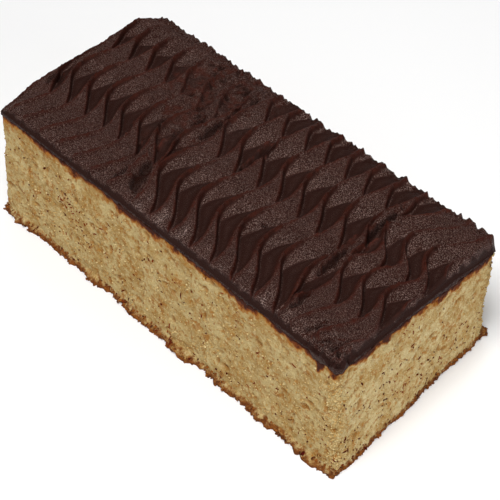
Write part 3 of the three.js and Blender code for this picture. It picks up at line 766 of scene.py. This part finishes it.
def set_icing(x, y, share, sleek_and_shaded, dry, painted_glint):
    """The icing as it set: its height, with tears, the seams' lips, ragged dry crests and a fine
    unevenness, and the masks that its material reads."""
    lumpy = inside_oval(x, y, LUMPY)
    torn = torn_depth(x, y)
    lip = seam_lip(x, y)
    at_near = smooth(1 - (y + WIDTH / 2 + OVERHANG) / RIM_REACH)
    on_rim = np.maximum(at_near, smooth(1 - (LENGTH / 2 + OVERHANG - x) / END_REACH))
    sleek_rim = smooth(2.2 * on_rim - 0.3 + 0.8 * lumps(x, y, 31.0, 2.2))
    sleek_and_shaded = np.maximum(sleek_and_shaded * (1 - 0.6 * lumpy), sleek_rim)
    rough = 1 - sleek_and_shaded
    dry = np.maximum(dry * (1 - 0.2 * lumpy), 0.9 * bell(torn, 0.5, 0.28)) * (1 - smooth(2 * on_rim))
    dry = np.maximum(dry, 0.95 * lip)
    height = combed_height(x, y, share) - torn + 0.12 * lumps(x, y, 9.0, 4.0) + SEAM_LIP["height"] * lip
    height = height + rough * (0.16 * lumps(x, y, 2.0, 1.6) + 0.12 * lumps(x, y, 4.0, 0.9))
    height = height + dry * (0.15 + 0.4 * lumps(x, y, 7.0, 1.5) + 0.3 * lumps(x, y, 8.0, 0.9))
    at_far = smooth((y - WIDTH / 2 + 5) / 4)
    height = height + at_far * (0.9 * lumps(x, y, 11.0, 2.2) + 0.9 * lumps(x, y, 12.0, 1.0) - 0.3)
    # The painted glint is kept to grainy icing and mostly off the lumpy place.
    painted_glint = painted_glint * rough * (1 - 0.7 * lumpy)
    # The deep mask is where the tears, pits and lumps cut deepest; the material paints shade there.
    masks = {"sleek_and_shaded": sleek_and_shaded, "crest": dry, "painted_glint": painted_glint, "deep": smooth((torn - 0.85) / 0.5)}
    return np.maximum(LEAST_ICING, height), masks


# Icing colours. The smooth colour is the icing's own; the grainy one is also lighter and greyer as painted
# sheen; the grain-shade and tear-shade colours are painted shade; the two sparkle colours are painted
# highlights.
SLEEK_COCOA, SHEENED_GRAINY_COCOA, BROAD_COCOA = srgb(38, 12, 4), srgb(64, 33, 25), srgb(79, 43, 34)
GRAIN_SHADE_COCOA, DRY_COCOA, TEAR_SHADE_COCOA = srgb(30, 6, 3), srgb(80, 36, 25), srgb(32, 10, 3)
PAINTED_SPARKLE, PAINTED_WET_HIGHLIGHT = srgb(178, 152, 142), srgb(186, 164, 155)


def icing_material():
    """Near-black brown icing: satin where the comb left it smooth, darker there partly by painted shade; a
    fine grain on the facets, lighter and greyer by painted sheen, darkened between the grains by painted
    shade and dotted with painted sparkle highlights; drier and redder along the crests; and painted shade
    down in the tears."""
    material, tree, shader, where = new_material("combed_icing")
    sleek_and_shaded, crest, painted_glint, deep = (attribute(tree, name) for name in ("sleek_and_shaded", "crest", "painted_glint", "deep"))
    height, painted_sparkle_mask = grain(tree, where, 2500, 0.53)
    grainy = minus(tree, 1.0, sleek_and_shaded)
    broad = between(tree, noise(tree, where, 120), 0.4, 0.7, 0.0, 0.5)
    # Smooth icing darker, grainy icing lighter and greyer: partly the icing's own finish, partly painted
    # shade on the steep edges and in the hollows, and painted sheen on the facets.
    colour = blend(tree, SLEEK_COCOA, SHEENED_GRAINY_COCOA, between(tree, grainy, 0.1, 0.9))
    colour = blend(tree, colour, BROAD_COCOA, times(tree, broad, grainy))
    # Painted shade between the grains: darker where the grain's bump height is low.
    between_grains = between(tree, height, 0.49, 0.38, 0.0, 0.95)
    painted_shade = times(tree, between(tree, grainy, 0.0, 1.0, 0.4, 1.0), between_grains)
    colour = blend(tree, colour, GRAIN_SHADE_COCOA, painted_shade)
    ragged = times(tree, crest, between(tree, height, 0.40, 0.52, 0.55, 1.0))
    colour = blend(tree, colour, DRY_COCOA, ragged)
    # Painted sparkle highlights: light grey dots where the grain stands high, stronger where the painted
    # glint is, kept off the dry crests.
    painted_shine = times(tree, painted_sparkle_mask, between(tree, painted_glint, 0.0, 0.85, 0.45, 1.0))
    painted_shine = times(tree, painted_shine, minus(tree, 1.0, times(tree, crest, 0.8)))
    colour = blend(tree, colour, PAINTED_SPARKLE, times(tree, grainy, painted_shine))
    # Whiter painted highlight spots where the painted glint is strongest, near the facets' low ends.
    painted_highlight_spots = between(tree, noise(tree, where, 1700, 1.0), 0.56, 0.64)
    painted_highlight_spots = times(tree, between(tree, painted_glint, 0.8, 1.0), painted_highlight_spots)
    colour = blend(tree, colour, PAINTED_WET_HIGHLIGHT, times(tree, grainy, painted_highlight_spots))
    # Painted shade down in the deepest tears and pits.
    colour = blend(tree, colour, TEAR_SHADE_COCOA, times(tree, deep, 0.65))
    tree.links.new(colour, shader.inputs["Base Color"])
    tree.links.new(between(tree, grainy, 0.0, 1.0, 0.55, 0.45), shader.inputs["Roughness"])
    shader.inputs["Specular IOR Level"].default_value = 0.16
    bump_up(tree, shader, times(tree, height, between(tree, grainy, 0.0, 1.0, 0.3, 1.0)), 1.0, 0.0016)
    return material


# The cut wall round the icing: how far down each ring is, and how proud of the overhang it stands.
WALL_RINGS = ((0.12, 0.05), (0.3, 0.12), (0.55, 0.1), (0.8, -0.05), (1.0, -0.4))
# The wall's masks: fairly smooth and so painted fairly dark, with no painted glint and no painted tear shade.
WALL_MASKS = {"sleek_and_shaded": 0.7, "crest": 0.0, "painted_glint": 0.0, "deep": 0.0}
# Where the wall droops at the near right corner: how far round it, how gently, how deep and uneven.
DROOP = {"round": 9.0, "ease": 8.0, "deep": 1.8, "uneven": 1.6}


def wall_foot(x, y):
    """How high over the sponge's top the wall ends: ragged, and drooping at the near right corner."""
    foot = 0.5 + 0.9 * lumps(x, y, 2.0, 4.5) + 0.8 * lumps(x, y, 4.0, 1.2)
    droop = DROOP["deep"] + DROOP["uneven"] * lumps(x, y, 6.0, 1.6)
    return foot - near_right(x, y, DROOP["round"], DROOP["ease"]) * droop


def icing():
    """The combed top, a cut wall round it that hangs a little over the crumb, and a flat closing."""
    x, y, *combed = combed_grid()
    height, masks = set_icing(x, y, *combed)
    grid = np.arange(x.size).reshape(x.shape)
    rim = np.concatenate([grid[0, :-1], grid[:-1, -1], grid[-1, :0:-1], grid[:0:-1, 0]])
    quads = np.stack([grid[:-1, :-1], grid[:-1, 1:], grid[1:, 1:], grid[1:, :-1]], -1).reshape(-1, 4)
    points, faces, previous, count = [on_icing(x, y, height).reshape(-1, 3)], [quads], rim, x.size
    rim_x, rim_y, rim_height = (part.ravel()[rim] for part in (x, y, height))
    out_x, out_y = way_out(rim_x, rim_y)
    for share, out in WALL_RINGS:
        ring = on_icing(rim_x, rim_y, mix(rim_height, wall_foot(rim_x, rim_y), share))
        out = out * (1 + 1.2 * lumps(rim_x, rim_y, 5.0 + share * 3, 2.2))
        out = out + 0.4 * lumps(rim_x, rim_y, share * 9, 1.2)
        ring[:, 0] += out * out_x
        ring[:, 1] += out * out_y
        numbers = np.arange(len(rim)) + count
        faces.append(band_faces(numbers, previous))
        points.append(ring)
        previous, count = numbers, count + len(rim)
    points.append(on_icing(np.zeros(1), np.zeros(1), ICING_GAP))
    faces.append(fan_faces(previous, count, False))
    points = np.concatenate(points)
    off_grid = len(points) - x.size
    at_points = {
        name: np.append(mask.ravel(), np.full(off_grid, WALL_MASKS[name]))
        for name, mask in masks.items()
    }
    return body("combed_icing", points, faces, icing_material(), at_points)


top = icing()
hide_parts("icing")

# ---------------------------------------------------------------- banana threads
# The dark threads and seeds of the banana show as short bent threads and dots in the cut sides,
# more of them low down and in clusters. Each is a thin tapered tube of four sides, half sunk in.

THREADS, THREAD_CLUSTERS = 800, 55
CLUSTER_REACH, CLUSTER_RISE = 4.5, 4.5 / 55                    # along the side, and as a share of its height
SIDE_HEIGHT = 52.0                       # of a side, on average
DOT = 0.9                                # a thread shorter than this is a dot, and thicker
THREAD_TAPER = np.array([0.3, 0.9, 1.0, 0.85, 0.25])
THREAD_COLOURS = srgb(76, 18, 12), srgb(124, 48, 14)


def thread_places(luck):
    """Distance along the sides and height of each thread: half alone and half near a cluster's
    middle, with heights drawn low by a power."""
    along, up = luck.uniform(0, AROUND, THREADS), 0.03 + 0.9 * luck.uniform(0, 1, THREADS) ** 1.5
    middle_along = luck.uniform(0, AROUND, THREAD_CLUSTERS)
    middle_up = 0.05 + 0.75 * luck.uniform(0, 1, THREAD_CLUSTERS) ** 1.4
    one = luck.integers(0, THREAD_CLUSTERS, THREADS)
    clustered = luck.uniform(0, 1, THREADS) < 0.5
    along = np.where(clustered, middle_along[one] + luck.normal(0, CLUSTER_REACH, THREADS), along)
    up = np.where(clustered, middle_up[one] + luck.normal(0, CLUSTER_RISE, THREADS), up)
    return along, np.clip(up, 0.02, 0.94)


def thread_material():
    """Dark reddish to purple-brown, and dull."""
    material, tree, shader, where = new_material("banana_thread")
    colour = blend(tree, *THREAD_COLOURS, between(tree, noise(tree, where, 90), 0.42, 0.66))
    tree.links.new(colour, shader.inputs["Base Color"])
    shader.inputs["Roughness"].default_value = 0.9
    shader.inputs["Specular IOR Level"].default_value = 0.05
    return material


def threads():
    """Tubes on the cut sides, most of them short: lengths are drawn by a fourth power. A station
    lies at the sum of short steps whose direction turns by the thread's bend, and its four corners
    lie across the thread and out of and into the crumb."""
    luck = np.random.default_rng(11)
    along, up = thread_places(luck)
    stations = len(THREAD_TAPER)
    length = 0.45 + 2.3 * luck.uniform(0, 1, THREADS) ** 4
    radius = luck.uniform(0.22, 0.42, THREADS)
    radius = radius * (1 + 0.6 * luck.uniform(0, 1, THREADS) * (length < DOT))
    heading = luck.uniform(0, np.pi, THREADS)[:, None]
    bend = luck.uniform(-1.6, 1.6, THREADS)[:, None]
    turn = heading + bend * np.linspace(-0.5, 0.5, stations)
    step = (length / (stations - 1))[:, None]
    place = np.stack([np.cumsum(np.cos(turn) * step, 1), np.cumsum(np.sin(turn) * step, 1)])
    place = place - place.mean(2, keepdims=True)
    thick = (radius[:, None] * THREAD_TAPER)[..., None]
    across = np.array([1, 0, -1, 0]) * thick
    out = np.array([0, 0.7, 0, -0.7]) * thick
    at_along = (along[:, None] + place[0])[..., None] - np.sin(turn)[..., None] * across
    at_up = up[:, None, None] + (place[1][..., None] + np.cos(turn)[..., None] * across) / SIDE_HEIGHT
    x, y, z, _ = side_point(at_along, np.clip(at_up, 0.005, 0.97), out + 0.03)
    points = np.stack([x, y, z], -1).reshape(-1, 3)
    rings = np.arange(THREADS * stations * 4).reshape(THREADS, stations, 4)
    turned = np.roll(rings, -1, 2)
    sides = np.stack([rings[:, :-1], turned[:, :-1], turned[:, 1:], rings[:, 1:]], -1)
    faces = [sides.reshape(-1, 4), rings[:, 0, ::-1], rings[:, -1]]
    return body("banana_threads", points, faces, thread_material())


threads()

# ---------------------------------------------------------------- loose crumbs
# Small crumbs cling to the cut: pale ones all over the sides, more at the upright right corners,
# and toasted ones along the foot. Each is an uneven twenty-sided lump, sunk in by a third or so.

PALE_CRUMBS, TOASTED_CRUMBS = 8000, 1600
CORNER_SHARE, CORNER_SPREAD = 0.25, 2.5  # how many pale crumbs lie at the right corners, and how closely
# Larger crumbs under the icing: how far past the far right corner, share of the height, radius.
LARGE_CRUMBS = ((-0.8, 0.985, 0.9), (0.6, 0.97, 0.8), (1.6, 0.99, 0.6))
PALE_COLOURS = srgb(210, 190, 140), srgb(180, 142, 78)
TOASTED_COLOURS = srgb(150, 88, 30), srgb(78, 38, 16)


def lump_shape():
    """The twelve corners and twenty faces of an icosahedron of radius 1."""
    g = (1 + 5 ** 0.5) / 2
    corners = np.array([(-1, g, 0), (1, g, 0), (-1, -g, 0), (1, -g, 0), (0, -1, g), (0, 1, g),
                        (0, -1, -g), (0, 1, -g), (g, 0, -1), (g, 0, 1), (-g, 0, -1), (-g, 0, 1)])
    faces = np.array([(0, 11, 5), (0, 5, 1), (0, 1, 7), (0, 7, 10), (0, 10, 11), (1, 5, 9), (5, 11, 4),
                      (11, 10, 2), (10, 7, 6), (7, 1, 8), (3, 9, 4), (3, 4, 2), (3, 2, 6), (3, 6, 8),
                      (3, 8, 9), (4, 9, 5), (2, 4, 11), (6, 2, 10), (8, 6, 7), (9, 8, 1)])
    return corners / math.hypot(1, g), faces


def crumbs(name, along, up, radius, material, luck):
    """Lumps on the sides: each axis and each corner's distance from the middle are scaled at random."""
    corners, faces = lump_shape()
    count = len(along)
    x, y, z, _ = side_point(along, up, 0.25 * radius)
    size = radius[:, None, None] * luck.uniform(0.65, 1.25, (count, 1, 3))
    size = size * luck.uniform(0.75, 1.2, (count, 12, 1))
    points = np.stack([x, y, z], -1)[:, None] + corners * size
    points[..., 2] = np.maximum(points[..., 2], 0.02)
    numbers = (faces + 12 * np.arange(count)[:, None, None]).reshape(-1, 3)
    tint = np.repeat(luck.uniform(0, 1, count), 12)
    return body(name, points.reshape(-1, 3), [numbers], material, {"tint": tint})


def crumb_piece_material(name, light, painted_shade):
    """One loose crumb's colour, between a light and a dark one by its own tint."""
    material, tree, shader, where = new_material(name)
    colour = blend(tree, light, painted_shade, attribute(tree, "tint"))
    colour = blend(tree, colour, painted_shade, between(tree, noise(tree, where, 1500, 1.0), 0.5, 0.7, 0.0, 0.5))
    tree.links.new(colour, shader.inputs["Base Color"])
    shader.inputs["Roughness"].default_value = DRY_ROUGHNESS
    shader.inputs["Specular IOR Level"].default_value = DRY_SPECULAR
    return material


def pale_crumbs():
    """Crumbs on the cut: one in four near the upright right corners, and three larger ones where
    the far right corner meets the icing."""
    luck = np.random.default_rng(23)
    along = luck.uniform(0, AROUND, PALE_CRUMBS)
    corner = np.array([LENGTH, LENGTH + WIDTH])[luck.integers(0, 2, PALE_CRUMBS)]
    corner = corner + luck.normal(0, CORNER_SPREAD, PALE_CRUMBS)
    along = np.where(luck.uniform(0, 1, PALE_CRUMBS) < CORNER_SHARE, corner, along)
    up = luck.uniform(0.06, 0.89, PALE_CRUMBS)
    radius = 0.14 + 0.30 * luck.uniform(0, 1, PALE_CRUMBS) ** 2
    past_corner, large_up, large_radius = np.array(LARGE_CRUMBS).T
    along = np.append(along, LENGTH + WIDTH + past_corner)
    up, radius = np.append(up, large_up), np.append(radius, large_radius)
    crumbs("pale_crumbs", along, up, radius, crumb_piece_material("pale_crumb", *PALE_COLOURS), luck)


def toasted_crumbs():
    """Crumbs on the browned foot, all the way round."""
    luck = np.random.default_rng(31)
    along, up = luck.uniform(0, AROUND, TOASTED_CRUMBS), luck.uniform(0.0, 0.05, TOASTED_CRUMBS)
    radius = 0.2 + 0.5 * luck.uniform(0, 1, TOASTED_CRUMBS) ** 2
    crumbs("toasted_crumbs", along, up, radius, crumb_piece_material("toasted_crumb", *TOASTED_COLOURS), luck)


pale_crumbs()
toasted_crumbs()

# ---------------------------------------------------------------- light, floor and camera
# The cake stands on a plain pale floor, under one large soft light overhead and two weak ones that
# fill the shadows from behind and from the right. The room itself is dim and white.

FLOOR_REACH = 2.0                        # metres to each side
# Each light: its azimuth and elevation in degrees, distance, width and height in metres, and watts.
LIGHTS = {
    "overhead": (20, 68, 1.6, 0.7, 0.7, 25),
    "behind": (225, 55, 1.6, 0.9, 0.9, 3),
    "right": (78, 18, 1.3, 1.0, 0.6, 5),
}
LIT_HEIGHT = 0.04                        # metres over the floor that the lights are aimed at
ROOM_LIGHT = 0.12
CAMERA = {"azimuth": 46.2, "elevation": 46.8, "distance": 0.717, "aim": (0.01739, -0.01131, 0.035)}
FOCAL_LENGTH, SENSOR_WIDTH, SIGHT = 136.8, 36.0, 20          # millimetres, and metres to the clip


def floor_material():
    """A pale plain surface with a faint unevenness."""
    material, tree, shader, where = new_material("pale_floor")
    shade = between(tree, noise(tree, where, 3.0), 0.3, 0.7, 0.0, 0.03)
    colour = blend(tree, srgb(250, 250, 250), srgb(225, 225, 225), shade)
    tree.links.new(colour, shader.inputs["Base Color"])
    shader.inputs["Roughness"].default_value = 0.8
    return material


def floor_sheet():
    """A level square four metres wide."""
    r = FLOOR_REACH
    mesh = bpy.data.meshes.new("floor")
    mesh.from_pydata([(-r, -r, 0), (r, -r, 0), (r, r, 0), (-r, r, 0)], [], [(0, 1, 2, 3)])
    mesh.materials.append(floor_material())
    sheet = bpy.data.objects.new("floor", mesh)
    bpy.context.scene.collection.objects.link(sheet)
    return sheet


def toward(azimuth, elevation):
    """The direction to something at an azimuth and elevation, in degrees: 0 is ahead of the near side."""
    a, e = math.radians(azimuth), math.radians(elevation)
    return Vector((math.sin(a) * math.cos(e), -math.cos(a) * math.cos(e), math.sin(e)))


def soft_light(name, azimuth, elevation, distance, width, height, watts):
    """A rectangular area light aimed at the cake's middle."""
    lamp = bpy.data.lights.new(name, "AREA")
    lamp.shape, lamp.energy = "RECTANGLE", watts
    lamp.size, lamp.size_y = width, height
    holder = bpy.data.objects.new(name, lamp)
    way = toward(azimuth, elevation)
    holder.location = way * distance + Vector((0, 0, LIT_HEIGHT))
    holder.rotation_euler = way.to_track_quat("Z", "Y").to_euler()
    bpy.context.scene.collection.objects.link(holder)


def camera():
    """The camera at its azimuth, elevation and distance from the point it is aimed at."""
    lens = bpy.data.cameras.new("camera")
    lens.sensor_width, lens.lens, lens.clip_end = SENSOR_WIDTH, FOCAL_LENGTH, SIGHT
    holder = bpy.data.objects.new("camera", lens)
    azimuth, elevation = CAMERA["azimuth"], CAMERA["elevation"]
    holder.location = Vector(CAMERA["aim"]) + toward(azimuth, elevation) * CAMERA["distance"]
    holder.rotation_euler = (math.radians(90 - elevation), 0, math.radians(azimuth))
    bpy.context.scene.collection.objects.link(holder)
    return holder


def room():
    """A plain white world, dimmed."""
    world = bpy.data.worlds.new("room")
    world.use_nodes = True
    background = world.node_tree.nodes["Background"]
    background.inputs["Color"].default_value = (1, 1, 1, 1)
    background.inputs["Strength"].default_value = ROOM_LIGHT
    return world


floor_sheet()
for light, settings in LIGHTS.items():
    soft_light(light, *settings)
bpy.context.scene.camera = camera()
bpy.context.scene.world = room()
bpy.context.scene.view_settings.view_transform = "Standard"
